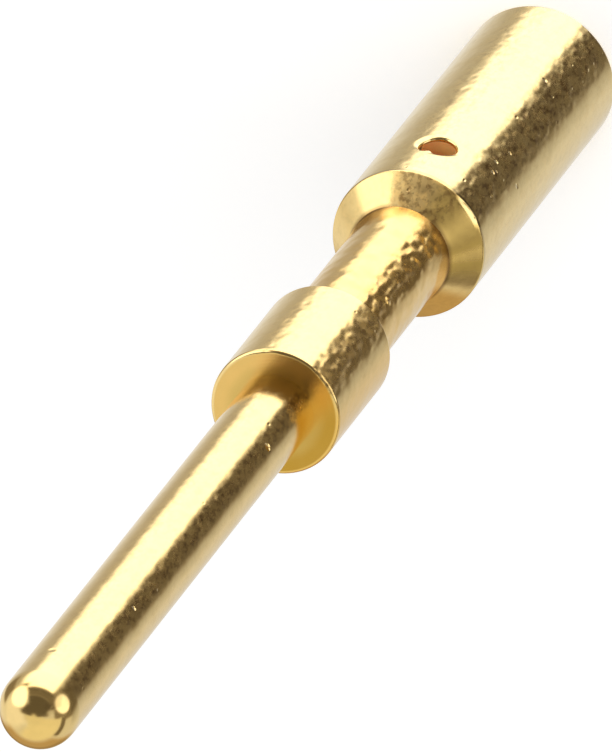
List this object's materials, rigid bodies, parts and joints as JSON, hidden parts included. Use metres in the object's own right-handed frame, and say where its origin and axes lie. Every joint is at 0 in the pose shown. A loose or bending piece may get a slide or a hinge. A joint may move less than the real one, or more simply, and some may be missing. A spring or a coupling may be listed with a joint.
{
  "type": "pin connector",
  "caption": "Turned crimp pin contact: a round pin with a domed tip, a locating collar, a slim neck and a bored crimp barrel with a sight hole.",
  "frame": {"origin": "centre of the wire mouth, on the flat end of the crimp barrel that the contact stands on", "axes": "+Z along the contact's axis, from the wire mouth up to the tip of the pin; -Y towards the sight hole"},
  "size_m": [0.002, 0.002, 0.0206],
  "materials": {
    "gold_plate": "gold-plated turned copper alloy, bright, with a fine tumbled grain"
  },
  "bodies": {
    "root": {"pin_contact": "gold_plate"}
  },
  "joints": []
}
